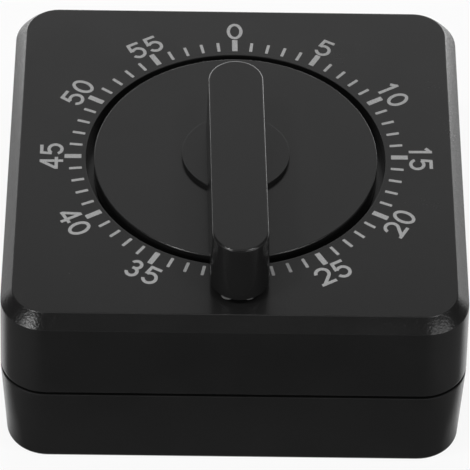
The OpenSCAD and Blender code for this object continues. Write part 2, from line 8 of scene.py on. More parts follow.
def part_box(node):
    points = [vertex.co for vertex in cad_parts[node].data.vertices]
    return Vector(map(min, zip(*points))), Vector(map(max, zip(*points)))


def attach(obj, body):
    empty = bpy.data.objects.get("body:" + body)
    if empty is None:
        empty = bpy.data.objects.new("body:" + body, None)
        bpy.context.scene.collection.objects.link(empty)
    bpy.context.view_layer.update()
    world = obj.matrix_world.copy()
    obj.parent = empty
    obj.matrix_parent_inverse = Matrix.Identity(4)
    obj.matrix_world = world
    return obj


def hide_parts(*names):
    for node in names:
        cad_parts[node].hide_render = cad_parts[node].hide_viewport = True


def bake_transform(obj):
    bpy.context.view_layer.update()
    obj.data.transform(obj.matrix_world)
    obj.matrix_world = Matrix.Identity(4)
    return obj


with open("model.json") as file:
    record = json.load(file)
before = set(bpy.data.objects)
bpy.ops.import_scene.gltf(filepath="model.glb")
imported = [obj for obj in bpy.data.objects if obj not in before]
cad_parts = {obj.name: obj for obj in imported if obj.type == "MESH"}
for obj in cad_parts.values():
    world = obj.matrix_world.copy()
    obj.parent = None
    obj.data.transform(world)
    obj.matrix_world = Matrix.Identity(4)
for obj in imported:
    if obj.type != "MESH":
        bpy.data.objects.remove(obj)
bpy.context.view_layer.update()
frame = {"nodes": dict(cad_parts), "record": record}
mm = 0.001
near = 0.004 * mm  # two places closer than this count as one
level = 0.999  # a face with a normal this upright counts as level
sharpTurn = 32  # degrees, from which an edge is shaded sharp
print("frame loaded:", len(frame["nodes"]), "nodes")


# small tools for modelling by hand
def only(piece):
    if bpy.context.object and bpy.context.object.mode != "OBJECT":
        bpy.ops.object.mode_set(mode="OBJECT")
    bpy.ops.object.select_all(action="DESELECT")
    if piece:
        piece.select_set(True)
        bpy.context.view_layer.objects.active = piece


def settle(piece):
    only(piece)
    bpy.ops.object.transform_apply(location=True, rotation=True, scale=True)
    return piece


def newest(name):
    piece = bpy.context.object
    piece.name = name
    piece.data.name = name
    return settle(piece)


def block(name, low, high):
    only(None)
    middle = [(a + b) / 2 for a, b in zip(low, high)]
    size = [b - a for a, b in zip(low, high)]
    bpy.ops.mesh.primitive_cube_add(size=1, location=middle, scale=size)
    return newest(name)


def drum(name, radius, low, high, sides, place=(0, 0)):
    only(None)
    bpy.ops.mesh.primitive_cylinder_add(
        vertices=sides, radius=radius, depth=high - low,
        location=(place[0], place[1], (low + high) / 2), rotation=(0, 0, math.pi / sides))
    return newest(name)


def drums(name, radius, low, high, sides, places):
    return [drum(name, radius, low, high, sides, place) for place in places]


def pick(piece, kind, test):
    only(piece)
    bpy.ops.object.mode_set(mode="EDIT")
    bpy.ops.mesh.select_mode(type=kind)
    bpy.ops.mesh.select_all(action="DESELECT")
    shape = bmesh.from_edit_mesh(piece.data)
    shape.normal_update()
    for item in {"VERT": shape.verts, "EDGE": shape.edges, "FACE": shape.faces}[kind]:
        if test(item):
            item.select_set(True)
    shape.select_flush_mode()
    bmesh.update_edit_mesh(piece.data)


def allOf(item):
    return True


def upright(edge):
    return abs(edge.verts[0].co.z - edge.verts[1].co.z) > near


def ringAt(height, test=allOf):
    return lambda edge: all(abs(v.co.z - height) < near and test(v.co) for v in edge.verts)


def facing(way):
    return lambda side: side.normal.z * way > level


def push(x, y, z):
    bpy.ops.mesh.extrude_region_move(TRANSFORM_OT_translate={"value": (x, y, z)})


def drawIn(inward, upward):
    bpy.ops.mesh.inset(thickness=inward)
    bpy.ops.transform.translate(value=(0, 0, upward))


def roundOff(offset, steps=2):
    bpy.ops.mesh.bevel(offset=offset, segments=steps, profile=0.5, affect="EDGES")


def joined(pieces):
    only(pieces[0])
    for piece in pieces[1:]:
        piece.select_set(True)
    if len(pieces) > 1:
        bpy.ops.object.join()
    return pieces[0]


def combine(piece, how, tools):
    tool = joined(tools)
    only(piece)
    change = piece.modifiers.new("combine", "BOOLEAN")
    change.operation = how
    change.solver = "EXACT"
    change.object = tool
    bpy.ops.object.modifier_apply(modifier=change.name)
    bpy.data.objects.remove(tool, do_unlink=True)


def add(piece, *tools):
    combine(piece, "UNION", tools)


def cut(piece, *tools):
    combine(piece, "DIFFERENCE", tools)


def cleaned(piece):
    pick(piece, "VERT", allOf)
    bpy.ops.mesh.remove_doubles(threshold=near / 2)
    bpy.ops.mesh.select_all(action="SELECT")
    bpy.ops.mesh.normals_make_consistent(inside=False)
    only(piece)
    bpy.ops.object.shade_smooth_by_angle(angle=math.radians(sharpTurn))
    weighted = piece.modifiers.new("normals", "WEIGHTED_NORMAL")
    weighted.keep_sharp = True
    bpy.ops.object.modifier_apply(modifier=weighted.name)
    return piece


def handIn(piece, body, slot, material, *nodes):
    piece.data.materials.clear()
    piece.data.materials.append(material)
    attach(piece, body)
    if nodes:
        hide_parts(*nodes)


# shader maths through sockets
class Wire:
    def __init__(self, tree, socket=None):
        self.tree = tree
        self.socket = socket

    def node(self, kind, settings=None, sockets=None, out=0):
        made = self.tree.nodes.new("ShaderNode" + kind)
        for name, value in (settings or {}).items():
            setattr(made, name, value)
        for name, value in (sockets or {}).items():
            if isinstance(value, Wire):
                self.tree.links.new(value.socket, made.inputs[name])
            else:
                made.inputs[name].default_value = value
        return Wire(self.tree, made.outputs[out] if made.outputs else None)

    def maths(self, operation, first, second=0.0):
        return self.node("Math", {"operation": operation}, {0: first, 1: second})

    def __add__(self, other):
        return self.maths("ADD", self, other)

    def __radd__(self, other):
        return self.maths("ADD", other, self)

    def __sub__(self, other):
        return self.maths("SUBTRACT", self, other)

    def __rsub__(self, other):
        return self.maths("SUBTRACT", other, self)

    def __mul__(self, other):
        return self.maths("MULTIPLY", self, other)

    def __rmul__(self, other):
        return self.maths("MULTIPLY", other, self)

    def swing(self, amount):
        return amount * (self - 0.5)  # noise, taken about its middle

    def ramp(self, value, start, end, low=0.0, high=1.0):
        return self.node("MapRange", {}, {0: value, 1: start, 2: end, 3: low, 4: high})

    def dot(self, first, second):
        return self.node("VectorMath", {"operation": "DOT_PRODUCT"}, {0: first, 1: second}, "Value")

    def mix(self, factor, first, second):
        return self.node("Mix", {"data_type": "RGBA"}, {0: factor, 6: first, 7: second}, 2)

    def noise(self, place, size, detail):
        return self.node("TexNoise", {}, {"Vector": place, "Scale": 1 / size, "Detail": detail})

    def bump(self, height, strength, distance):
        return self.node("Bump", {}, {"Strength": strength, "Distance": distance, "Height": height})


def startMaterial(name):
    material = bpy.data.materials.new(name)
    material.use_nodes = True
    material.node_tree.nodes.clear()
    return material, Wire(material.node_tree)


def endMaterial(wire, shader):
    wire.node("OutputMaterial", {}, {"Surface": shader})


def grey(tone):
    return (tone, tone, tone, 1.0)


# octaves of the noise patterns
grainDetail = 2.0
lineDetail = 3.0
cloudDetail = 4.0

# moulded black plastic: soft clouding, paler edges that are partly rubbed wear and partly a painted edge
# highlight, and a fine grain that is strongest on the bevel
plasticLook = {
    "tone": 0.012, "cloud": 9 * mm, "clouding": 0.2,
    "rough": 0.24, "roughCloud": 0.1, "roughGrain": 0.08,
    "grain": 0.32 * mm, "bump": 0.85, "depth": 0.2, "smooth": 0.2,
    "bevelLean": 0.65, "leanNear": 0.1, "leanFar": 0.2,
    "wearAndSheenReach": 0.25 * mm, "wearAndSheenSamples": 4, "wearAndSheenFrom": 0.995, "wearAndSheenTo": 0.93,
    "wearAndSheenLeast": 0.4, "wearAndSheenShare": 0.35, "wearAndSheenTone": 0.05,
}
knobLook = dict(plasticLook, rough=0.2, grain=0.3 * mm, bump=0.2, smooth=0.6)


def plastic(name, look):
    material, wire = startMaterial(name)
    place = wire.node("TexCoord", out="Object")
    grain = wire.noise(place, look["grain"], grainDetail)
    cloud = wire.noise(place, look["cloud"], cloudDetail)
    # paler base colour where the surface turns at an edge: partly rubbed wear, partly a painted edge
    # highlight
    turned = wire.node("Bevel", {"samples": look["wearAndSheenSamples"]}, {"Radius": look["wearAndSheenReach"]})
    flat = wire.node("NewGeometry", out="Normal")
    edge = wire.ramp(wire.dot(turned, flat), look["wearAndSheenFrom"], look["wearAndSheenTo"])
    wearAndSheen = edge * (look["wearAndSheenLeast"] + (1 - look["wearAndSheenLeast"]) * grain)
    darkest = grey(look["tone"] * (1 - look["clouding"]))
    palest = grey(look["tone"] * (1 + look["clouding"]))
    body = wire.mix(cloud, darkest, palest)
    colour = wire.mix(wearAndSheen * look["wearAndSheenShare"], body, grey(look["wearAndSheenTone"]))
    rough = look["rough"] + cloud.swing(look["roughCloud"]) + grain.swing(look["roughGrain"])
    offBevel = wire.maths("ABSOLUTE", wire.dot(flat, (0, 0, 1)) - look["bevelLean"])
    share = wire.ramp(offBevel, look["leanNear"], look["leanFar"], 1.0, look["smooth"])
    bump = wire.bump(grain * share, look["bump"], look["grain"] * look["depth"])
    shader = wire.node("BsdfPrincipled", {}, {
        "Base Color": colour, "Roughness": rough, "IOR": 1.5, "Normal": bump})
    endMaterial(wire, shader)
    return material


# screen-printed ink, a little thin and broken
inkLook = {"tone": 0.5, "thinTone": 0.33, "speck": 0.16 * mm, "thinFrom": 0.3, "thinTo": 0.62,
           "rough": 0.75, "gloss": 0.15, "bump": 0.3, "depth": 0.1}


def ink(name, look):
    material, wire = startMaterial(name)
    place = wire.node("TexCoord", out="Object")
    speck = wire.noise(place, look["speck"], lineDetail)
    full = wire.ramp(speck, look["thinFrom"], look["thinTo"])
    colour = wire.mix(full, grey(look["thinTone"]), grey(look["tone"]))
    bump = wire.bump(speck, look["bump"], look["speck"] * look["depth"])
    shader = wire.node("BsdfPrincipled", {}, {
        "Base Color": colour, "Roughness": look["rough"] - look["gloss"] * full, "Normal": bump})
    endMaterial(wire, shader)
    return material


# worked metal: brushed one way, tarnish in clouds
metalLook = {"grain": 0.3 * mm, "cloud": 3 * mm, "tarnish": 0.6, "dullFrom": 0.4, "dullTo": 0.7,
             "roughDull": 0.15, "roughLines": 0.1, "bump": 0.25, "depth": 0.05}
metalLooks = {
    "wheel_brass": {"bright": (0.78, 0.56, 0.24, 1), "dull": (0.5, 0.34, 0.14, 1), "rough": 0.28,
                    "brush": (1, 6, 1)},
    "plate_steel": {"bright": (0.6, 0.6, 0.6, 1), "dull": (0.42, 0.41, 0.4, 1), "rough": 0.34,
                    "brush": (1, 9, 1)},
    "spring_steel": {"bright": (0.34, 0.35, 0.38, 1), "dull": (0.2, 0.2, 0.22, 1), "rough": 0.3,
                     "brush": (1, 1, 8)},
    "arbor_steel": {"bright": (0.66, 0.66, 0.67, 1), "dull": (0.45, 0.45, 0.46, 1), "rough": 0.22,
                    "brush": (1, 1, 8)},
    "screw_steel": {"bright": (0.62, 0.62, 0.63, 1), "dull": (0.4, 0.4, 0.41, 1), "rough": 0.3,
                    "brush": (1, 1, 5)},
    "bell_chrome": {"bright": (0.8, 0.8, 0.82, 1), "dull": (0.62, 0.62, 0.64, 1), "rough": 0.1,
                    "brush": (1, 1, 6)},
}


def metal(name, look):
    material, wire = startMaterial(name)
    place = wire.node("TexCoord", out="Object")
    drawn = wire.node("Mapping", {}, {"Vector": place, "Scale": look["brush"]})
    lines = wire.noise(drawn, look["grain"], lineDetail)
    cloud = wire.noise(place, look["cloud"], cloudDetail)
    dull = wire.ramp(cloud, look["dullFrom"], look["dullTo"])
    colour = wire.mix(dull * look["tarnish"], look["bright"], look["dull"])
    rough = look["rough"] + look["roughDull"] * dull * look["tarnish"] + lines.swing(look["roughLines"])
    bump = wire.bump(lines, look["bump"], look["grain"] * look["depth"])
    shader = wire.node("BsdfPrincipled", {}, {
        "Base Color": colour, "Roughness": rough, "Metallic": 1.0, "Normal": bump})
    endMaterial(wire, shader)
    return material


materials = {"case_plastic": plastic("casePlastic", plasticLook),
             "dial_plastic": plastic("dialPlastic", knobLook),
             "scale_ink": ink("scaleInk", inkLook)}
for slotName, look in metalLooks.items():
    materials[slotName] = metal(slotName.replace("_", "."), dict(metalLook, **look))
for entry in frame["record"]["materials"]:
    for nodeName in entry.get("nodes", []):
        for place in frame["nodes"][nodeName].material_slots:
            place.material = materials[entry["slot"]]
print("materials made:", len(materials))

# the cover's posts meet the shell's bosses, and the movement hangs from the fixings
posts = {"place": 27.2 * mm, "radius": 4.1 * mm, "join": 12.2 * mm, "sides": 48,
         "bore": 2.8 * mm, "boreTop": 6 * mm, "shank": 1.35 * mm, "shankSides": 24}
bosses = {"place": posts["place"], "low": posts["join"],
          "radius": 2.9 * mm, "pilot": 1.31 * mm, "deep": 8 * mm}
fixings = {"place": 21.5 * mm, "low": 23.4 * mm,
           "radius": 2.5 * mm, "pilot": 0.91 * mm, "deep": 4.2 * mm}


def atCorners(size):
    return [(x * size["place"], y * size["place"]) for x in (-1, 1) for y in (-1, 1)]


# the rib in the well and the lug under the disc, which end the knob's turn
stop = {"inner": 17.3 * mm, "rib": 19.9 * mm, "lug": 21 * mm, "wide": 0.8 * mm,
        "ribTurn": 225, "lugTurn": 42, "ribTop": 28.8 * mm, "lugTop": 29.9 * mm}


def makeStop(outer, low, high, turn):
    piece = block("stop", (stop["inner"], -stop["wide"] / 2, low), (outer, stop["wide"] / 2, high))
    piece.rotation_euler.z = math.radians(turn)
    return settle(piece)


upper = {
    "underside": 15.1 * mm, "corner": 6.8 * mm, "cornerSteps": 14, "flare": 0.3 * mm, "band": 0.3 * mm,
    "bevelRun": 1.8 * mm, "bevelDrop": 2.1 * mm, "bulge": 0.1 * mm, "edge": 0.12 * mm,
    "wall": 2 * mm, "top": 2.2 * mm, "bushHole": 5 * mm, "bushSides": 64,
    "groove": 1.25 * mm, "wellDepth": 3.1 * mm, "wellFloor": 1.4 * mm, "wellWall": 1.4 * mm,
    "wellReach": 0.05 * mm, "sides": 192,
}
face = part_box("upper_shell")[1].z
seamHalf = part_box("upper_shell")[1].x
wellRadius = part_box("dial_disc")[1].x + upper["groove"]


# both case halves start as a thin rounded band beside the seam
def seamBand(name, low, high):
    band = block(name, (-seamHalf, -seamHalf, low), (seamHalf, seamHalf, high))
    pick(band, "EDGE", upright)
    roundOff(upper["corner"] + upper["flare"], upper["cornerSteps"])
    return band


def makeUpperShell(size):
    shoulder = face - size["bevelDrop"]
    ceiling = face - size["top"]
    rootTop = ceiling + size["top"] / 2  # what stands under the ceiling is rooted in it
    wellBottom = face - size["wellDepth"]
    cupBottom = wellBottom - size["wellFloor"]
    bandTop = size["underside"] + size["band"]
    shell = seamBand("upperShell", size["underside"], bandTop)
    pick(shell, "FACE", facing(1))
    drawIn(size["flare"], shoulder - bandTop)
    for bulge in (size["bulge"], -size["bulge"]):  # the bevel is a little crowned
        drawIn(size["bevelRun"] / 2, size["bevelDrop"] / 2 + bulge)
    for height in (face, shoulder, size["underside"]):
        pick(shell, "EDGE", ringAt(height))
        roundOff(size["edge"])
    pick(shell, "FACE", facing(-1))
    bpy.ops.mesh.inset(thickness=size["wall"] + size["flare"] - size["edge"])
    push(0, 0, ceiling - size["underside"])
    add(shell, drum("cup", wellRadius + size["wellWall"], cupBottom, rootTop, size["sides"]))
    for group in (bosses, fixings):
        add(shell, *drums("boss", group["radius"], group["low"], rootTop, posts["sides"], atCorners(group)))
    cut(shell, drum("well", wellRadius, wellBottom, face + size["top"], size["sides"]))
    cut(shell, drum("bushHole", size["bushHole"], ceiling - size["wall"] * 2, face, size["bushSides"]))
    for group in (bosses, fixings):
        cut(shell, *drums("pilot", group["pilot"], group["low"] - size["wall"], group["low"] + group["deep"],
                          posts["shankSides"], atCorners(group)))
    add(shell, makeStop(stop["rib"], wellBottom - size["wellFloor"] / 2, stop["ribTop"], stop["ribTurn"]))
    pick(shell, "EDGE", ringAt(face, lambda place: abs(place.xy.length - wellRadius) < size["wellReach"]))
    roundOff(size["edge"])
    return cleaned(shell)


upperShell = makeUpperShell(upper)
handIn(upperShell, "case", "case_plastic", materials["case_plastic"], "upper_shell")
print("upper shell:", len(upperShell.data.polygons), "faces")

cover = {"height": 14.5 * mm, "taper": 0.6 * mm, "foot": 0.4 * mm, "footSteps": 3, "edge": 0.16 * mm,
         "lipInset": 2.05 * mm, "lip": 1 * mm, "floor": 2 * mm}
slots = {"count": 5, "width": 2.2 * mm, "step": 5 * mm, "length": 34 * mm, "shorter": 5 * mm,
         "endRound": 0.48, "endSteps": 6}


# the sound slots get shorter away from the middle one
def makeSlots(size, low, high):
    made = []
    for step in range(size["count"]):
        row = step - size["count"] // 2
        reach = (size["length"] - size["shorter"] * abs(row)) / 2
        middle = row * size["step"]
        half = size["width"] / 2
        slot = block("slot", (-reach, middle - half, low), (reach, middle + half, high))
        pick(slot, "EDGE", upright)
        roundOff(size["width"] * size["endRound"], size["endSteps"])
        only(slot)
        made.append(slot)
    return made


def makeRearCover(size):
    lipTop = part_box("rear_cover")[1].z
    bandLow = size["height"] - upper["band"]
    thick = size["floor"]
    shell = seamBand("rearCover", bandLow, size["height"])
    pick(shell, "FACE", facing(-1))
    drawIn(size["taper"], -bandLow)
    pick(shell, "EDGE", ringAt(0))
    roundOff(size["foot"], size["footSteps"])
    pick(shell, "EDGE", ringAt(size["height"]))
    roundOff(size["edge"])
    pick(shell, "FACE", facing(1))
    bpy.ops.mesh.inset(thickness=size["lipInset"] + upper["flare"] - size["edge"])
    push(0, 0, lipTop - size["height"])
    bpy.ops.mesh.inset(thickness=size["lip"])
    push(0, 0, thick - lipTop)
    spots = atCorners(posts)
    add(shell, *drums("post", posts["radius"], thick / 2, posts["join"], posts["sides"], spots))
    cut(shell, *drums("bore", posts["bore"], -thick, posts["boreTop"], posts["sides"], spots))
    cut(shell, *drums("shank", posts["shank"], posts["boreTop"] - thick, posts["join"] + thick,
                      posts["shankSides"], spots))
    cut(shell, *makeSlots(slots, -thick, thick * 2))
    return cleaned(shell)


rearCover = makeRearCover(cover)
handIn(rearCover, "case", "case_plastic", materials["case_plastic"], "rear_cover")
print("rear cover:", len(rearCover.data.polygons), "faces")

disc = {"rim": 0.16 * mm, "rimSteps": 4, "plate": 1.6 * mm, "skirt": 1.6 * mm, "boss": 5 * mm,
        "bore": 2.5 * mm, "boreSides": 48, "sides": 192}


def makeDialDisc(size):
    low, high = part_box("dial_disc")
    radius = high.x
    piece = drum("dialDisc", radius, low.z, high.z, size["sides"])
    pick(piece, "EDGE", ringAt(high.z))
    roundOff(size["rim"], size["rimSteps"])
    pick(piece, "FACE", facing(-1))
    bpy.ops.mesh.inset(thickness=size["skirt"])
    depth = high.z - low.z - size["plate"]
    push(0, 0, depth)
    bpy.ops.mesh.inset(thickness=radius - size["skirt"] - size["boss"])
    push(0, 0, -depth)
    cut(piece, drum("bore", size["bore"], low.z - depth, high.z + depth, size["boreSides"]))
    add(piece, makeStop(stop["lug"], low.z, stop["lugTop"], stop["lugTurn"]))
    return cleaned(piece)


dialDisc = makeDialDisc(disc)
handIn(dialDisc, "dial", "dial_plastic", materials["dial_plastic"], "dial_disc")
print("dial disc:", len(dialDisc.data.polygons), "faces")

bar = {"width": 8.9 * mm, "tip": 31.2 * mm, "tail": 10.1 * mm, "under": 31.4 * mm, "turn": 1.4,
       "draft": 0.24 * mm, "wall": 1.6 * mm, "topRound": 0.36 * mm, "topSteps": 5, "footRound": 0.15 * mm,
       "hub": 8.3 * mm, "hubInto": 0.05 * mm, "hubRound": 0.08 * mm, "hubSides": 128,
       "bore": 2.5 * mm, "boreTop": 36 * mm, "boreSides": 48, "sides": 96}


# a drum, drawn in by the draft at its top, with its halves moved apart
def stadium(name, radius, front, back, low, high, size):
    piece = drum(name, radius, low, high, size["sides"])
    share = 1 - size["draft"] / radius
    pick(piece, "VERT", lambda v: abs(v.co.z - high) < near)
    bpy.ops.transform.resize(value=(share, share, 1), center_override=(0, 0, 0))
    pick(piece, "VERT", lambda v: v.co.y < 0)
    bpy.ops.transform.translate(value=(0, -front, 0))
    pick(piece, "VERT", lambda v: v.co.y > 0)
    bpy.ops.transform.translate(value=(0, back, 0))
    only(piece)
    return piece


def makePointerBar(size):
    low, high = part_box("pointer_bar")
    radius = size["width"] / 2
    front = size["tip"] - radius
    piece = stadium("pointerBar", radius, front, size["tail"] - radius, size["under"], high.z, size)
    pick(piece, "EDGE", ringAt(high.z))
    roundOff(size["topRound"], size["topSteps"])
    pick(piece, "EDGE", ringAt(size["under"]))
    roundOff(size["footRound"])
    hubTop = size["under"] + size["hubInto"]
    hub = drum("hub", size["hub"], low.z, hubTop, size["hubSides"])
    pick(hub, "EDGE", ringAt(hubTop))
    roundOff(size["hubRound"])
    add(piece, hub)
    inner = radius - size["wall"]
    start = size["hub"] + size["wall"] + inner
    cut(piece, stadium("hollow", inner, front, -start, low.z, high.z - size["wall"], size))
    cut(piece, drum("bore", size["bore"], low.z - size["wall"], size["boreTop"], size["boreSides"]))
    piece.rotation_euler.z = math.radians(size["turn"])
    settle(piece)
    return cleaned(piece)


pointerBar = makePointerBar(bar)
handIn(pointerBar, "dial", "dial_plastic", materials["dial_plastic"], "pointer_bar")
print("pointer bar:", len(pointerBar.data.polygons), "faces")

# the hammer's leaf spring, cut into short lengths along its run
leaf = {"foot": (22.434 * mm, -3.556 * mm), "tip": (8.884 * mm, -8.231 * mm), "footRadius": 1.6 * mm,
        "footRound": 0.12 * mm, "thick": 0.25 * mm, "wide": 0.8 * mm, "cuts": 23, "sides": 48}
leafRun = Vector(leaf["tip"]) - Vector(leaf["foot"])


def makeHammerSpring(size):
    low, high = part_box("hammer_spring")
    piece = block("hammerSpring", (0, 0, high.z - size["wide"]), (leafRun.length, size["thick"], high.z))
    pick(piece, "EDGE", lambda edge: abs(edge.verts[0].co.x - edge.verts[1].co.x) > near)
    bpy.ops.mesh.subdivide(number_cuts=size["cuts"])
    foot = drum("foot", size["footRadius"], low.z, high.z, size["sides"])
    pick(foot, "EDGE", ringAt(high.z))
    roundOff(size["footRound"])
    add(piece, foot)
    piece.rotation_euler.z = math.atan2(leafRun.y, leafRun.x)
    piece.location = (*size["foot"], 0)
    settle(piece)
    return cleaned(piece)


hammerSpring = makeHammerSpring(leaf)
hammerSpring.data.materials.append(materials["spring_steel"])
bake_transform(hammerSpring)
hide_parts("hammer_spring")
print("hammer spring:", len(hammerSpring.data.polygons), "faces")

scale = {
    "turn": 0.66, "shift": (0.1 * mm, 0.12 * mm), "thick": 0.025 * mm, "minuteTurn": 6,
    "inner": 23.83 * mm, "minor": 25.82 * mm, "major": 26.42 * mm,
    "minorWidth": 0.48 * mm, "majorWidth": 0.86 * mm, "tickRound": 0.09 * mm,
    "numerals": 28.41 * mm, "height": 3.6 * mm, "advance": 3.0 * mm,
    "minutes": range(0, 60, 5), "upsideDown": (20, 25, 30, 35, 40),
}


def makeTick(name, width, outer, size):
    mark = block(name, (-width / 2, size["inner"], face - size["thick"]),
                 (width / 2, outer, face + size["thick"]))
    pick(mark, "EDGE", upright)
    roundOff(size["tickRound"])
    pick(mark, "VERT", allOf)
    return mark


# copies what is selected round the dial, each copy one turn further
def spinCopies(copies, turn):
    bpy.ops.mesh.spin(
        steps=copies, angle=math.radians(copies * turn), axis=(0, 0, 1), center=(0, 0, 0), dupli=True)


def makeTicks(size):
    fives = len(size["minutes"])
    fiveTurn = size["minutes"].step * size["minuteTurn"]
    major = makeTick("scaleTicks", size["majorWidth"], size["major"], size)
    spinCopies(fives - 1, fiveTurn)
    minor = makeTick("minorTick", size["minorWidth"], size["minor"], size)
    bpy.ops.transform.rotate(
        value=math.radians(size["minuteTurn"]), orient_axis="Z", center_override=(0, 0, 0))
    spinCopies(size["minutes"].step - 2, size["minuteTurn"])  # four between two majors
    bpy.ops.mesh.select_all(action="SELECT")
    spinCopies(fives - 1, fiveTurn)
    return joined([major, minor])


# digits one unit high, drawn with a pen: an edge as long as the stroke is wide,
# pushed along lines and spun round arcs
digits = {"pen": 0.145, "wide": 0.7, "waist": 0.02, "fiveBowl": -0.16, "deep": 0.1, "near": 0.0005,
          "arcSteps": 24, "zeroSides": 56}
digitHalf = (1 - digits["pen"]) / 2
bowl = (digits["wide"] - digits["pen"]) / 2
waist = digits["waist"]
upperBowl = (digitHalf - waist) / 2
lowerBowl = (digitHalf + waist) / 2


def onArc(radius, height, angle):
    turn = math.radians(angle)
    return radius * math.cos(turn), height + radius * math.sin(turn)


# each stroke: where it starts, how the pen is turned, and then its moves,
# which are lines by x and y, or arcs round a middle x and y by so many degrees
digitStrokes = {
    "1": [((0.08, -0.5), 0, [("line", 0, 1)]),
          ((0.1, 0.44), 132, [("line", -0.24, -0.215)])],
    "2": [(onArc(bowl, digitHalf - bowl, 168), 168,
           [("arc", 0, digitHalf - bowl, -215), ("line", -0.44, -0.4106)]),
          ((-digits["wide"] / 2, -digitHalf), 90, [("line", digits["wide"], 0)])],
    "3": [(onArc(upperBowl, waist + upperBowl, 165), 165,
           [("arc", 0, waist + upperBowl, -255), ("line", -0.09, 0)]),
          ((0, waist), 90, [("arc", 0, waist - lowerBowl, -255)])],
    "4": [((0.13, -0.5), 0, [("line", 0, 1)]),
          ((-0.36, -0.21), 90, [("line", 0.72, 0)]),
          ((-0.31, -0.2), 147, [("line", 0.43, 0.66)])],
    "5": [((-0.225, digitHalf), 90, [("line", 0.49, 0)]),
          ((-0.2, 0.5), 5, [("line", -0.045, -0.5)]),
          (onArc(bowl, digits["fiveBowl"], 142), 142, [("arc", 0, digits["fiveBowl"], -300)])],
}


def thicken(piece):
    pick(piece, "FACE", allOf)
    push(0, 0, digits["deep"])
    pick(piece, "VERT", allOf)
    bpy.ops.mesh.remove_doubles(threshold=digits["near"])
    bpy.ops.mesh.normals_make_consistent(inside=False)
    only(piece)
    return piece


def penStroke(start, angle, moves):
    only(None)
    bpy.ops.mesh.primitive_plane_add(size=1)
    piece = newest("stroke")
    pick(piece, "VERT", lambda v: v.co.y > 0)
    bpy.ops.mesh.delete(type="VERT")
    pick(piece, "VERT", allOf)
    bpy.ops.transform.translate(value=(0, 0.5, 0))  # the plane's front edge is the pen
    only(piece)
    piece.scale = (digits["pen"], 1, 1)
    piece.rotation_euler.z = math.radians(angle)
    piece.location = (*start, 0)
    settle(piece)
    pick(piece, "EDGE", allOf)
    for kind, x, y, *turn in moves:
        if kind == "line":
            push(x, y, 0)
        else:
            bpy.ops.mesh.spin(
                steps=digits["arcSteps"], angle=math.radians(-turn[0]), center=(x, y, 0), axis=(0, 0, 1))
    return thicken(piece)


def makeZero():
    only(None)
    bpy.ops.mesh.primitive_circle_add(vertices=digits["zeroSides"], radius=0.5, fill_type="NGON")
    bpy.context.object.scale = (digits["wide"], 1, 1)
    piece = newest("digit0")
    pick(piece, "FACE", allOf)
    bpy.ops.mesh.inset(thickness=digits["pen"])
    bpy.ops.mesh.delete(type="FACE")
    return thicken(piece)


def makeDigit(digit):
    first, *others = [penStroke(*stroke) for stroke in digitStrokes[digit]]
    for other in others:
        add(first, other)
    first.name = "digit" + digit
    return first


def makeNumerals(size):
    shapes = {"0": makeZero()}
    for digit in digitStrokes:
        shapes[digit] = makeDigit(digit)
    copies = []
    for minute in size["minutes"]:
        words = str(minute)
        turn = math.radians(-size["minuteTurn"] * minute)
        outward = Matrix.Rotation(turn, 3, "Z") @ Vector((0, size["numerals"], 0))
        flip = math.pi if minute in size["upsideDown"] else 0
        for index, digit in enumerate(words):
            only(shapes[digit])
            bpy.ops.object.duplicate(linked=False)
            mark = bpy.context.object
            aside = (index - (len(words) - 1) / 2) * size["advance"]
            mark.rotation_euler.z = turn + flip
            mark.location = outward + Matrix.Rotation(turn + flip, 3, "Z") @ Vector((aside, 0, 0))
            mark.location.z = face - size["thick"]
            mark.scale = (size["height"], size["height"], 2 * size["thick"] / digits["deep"])
            copies.append(settle(mark))
    for shape in shapes.values():
        bpy.data.objects.remove(shape, do_unlink=True)
    return joined(copies)


def layPrint(piece, name, size):
    piece.name = name
    piece.data.name = name
    only(piece)
    piece.rotation_euler.z = math.radians(size["turn"])
    piece.location = (*size["shift"], 0)
    settle(piece)
    pick(piece, "VERT", allOf)
    bpy.ops.mesh.normals_make_consistent(inside=False)
    only(piece)
    handIn(piece, "case", "scale_ink", materials["scale_ink"])


scaleTicks = makeTicks(scale)
layPrint(scaleTicks, "scaleTicks", scale)
scaleNumerals = makeNumerals(scale)
layPrint(scaleNumerals, "scaleNumerals", scale)
print("scale:", len(scaleTicks.data.polygons), "and", len(scaleNumerals.data.polygons), "faces")


# stage: pale floor, lamps and one dark card that only reflections see, which paints shade into the
# reflections
def plainSheet(name, low, high, height):
    only(None)
    middle = ((low[0] + high[0]) / 2, (low[1] + high[1]) / 2, height)
    bpy.ops.mesh.primitive_plane_add(size=1, location=middle)
    bpy.context.object.scale = (high[0] - low[0], high[1] - low[1], 1)
    return newest(name)


floor = {"reach": 4.0, "tone": 0.85, "glow": 0.9}


def makeFloor(size):
    reach = size["reach"]
    sheet = plainSheet("floor", (-reach, -reach), (reach, reach), 0)
    material, wire = startMaterial("floorPale")
    direct = wire.node("LightPath", out="Is Camera Ray")
    glossy = wire.node("LightPath", out="Is Glossy Ray")
    through = wire.node("LightPath", out="Is Transmission Ray")
    seen = wire.maths("MAXIMUM", wire.maths("MAXIMUM", direct, glossy), through)
    plain = wire.node("BsdfDiffuse", {}, {"Color": grey(size["tone"])})
    white = wire.node("Emission", {}, {"Color": grey(1.0), "Strength": 1.0})
    lit = wire.node("MixShader", {}, {0: seen * size["glow"], 1: plain, 2: white})
    under = wire.node("NewGeometry", out="Backfacing")
    clear = wire.node("BsdfTransparent")
    endMaterial(wire, wire.node("MixShader", {}, {0: under, 1: lit, 2: clear}))
    sheet.data.materials.append(material)
    return sheet


# painted reflection: a dark sheet that the camera never sees and that casts no shadow, so the case's walls
# reflect painted shade
card = {"back": -26 * mm, "front": -0.6, "middle": 37 * mm, "wing": 0.6, "sweep": 0.39,
        "fade": 8 * mm, "height": 0.4 * mm, "tone": 0.045, "pale": 0.2,
        "paleFrom": 30 * mm, "paleTo": 46 * mm, "nearFrom": -54 * mm, "nearTo": -36 * mm, "nearShare": 0.55}


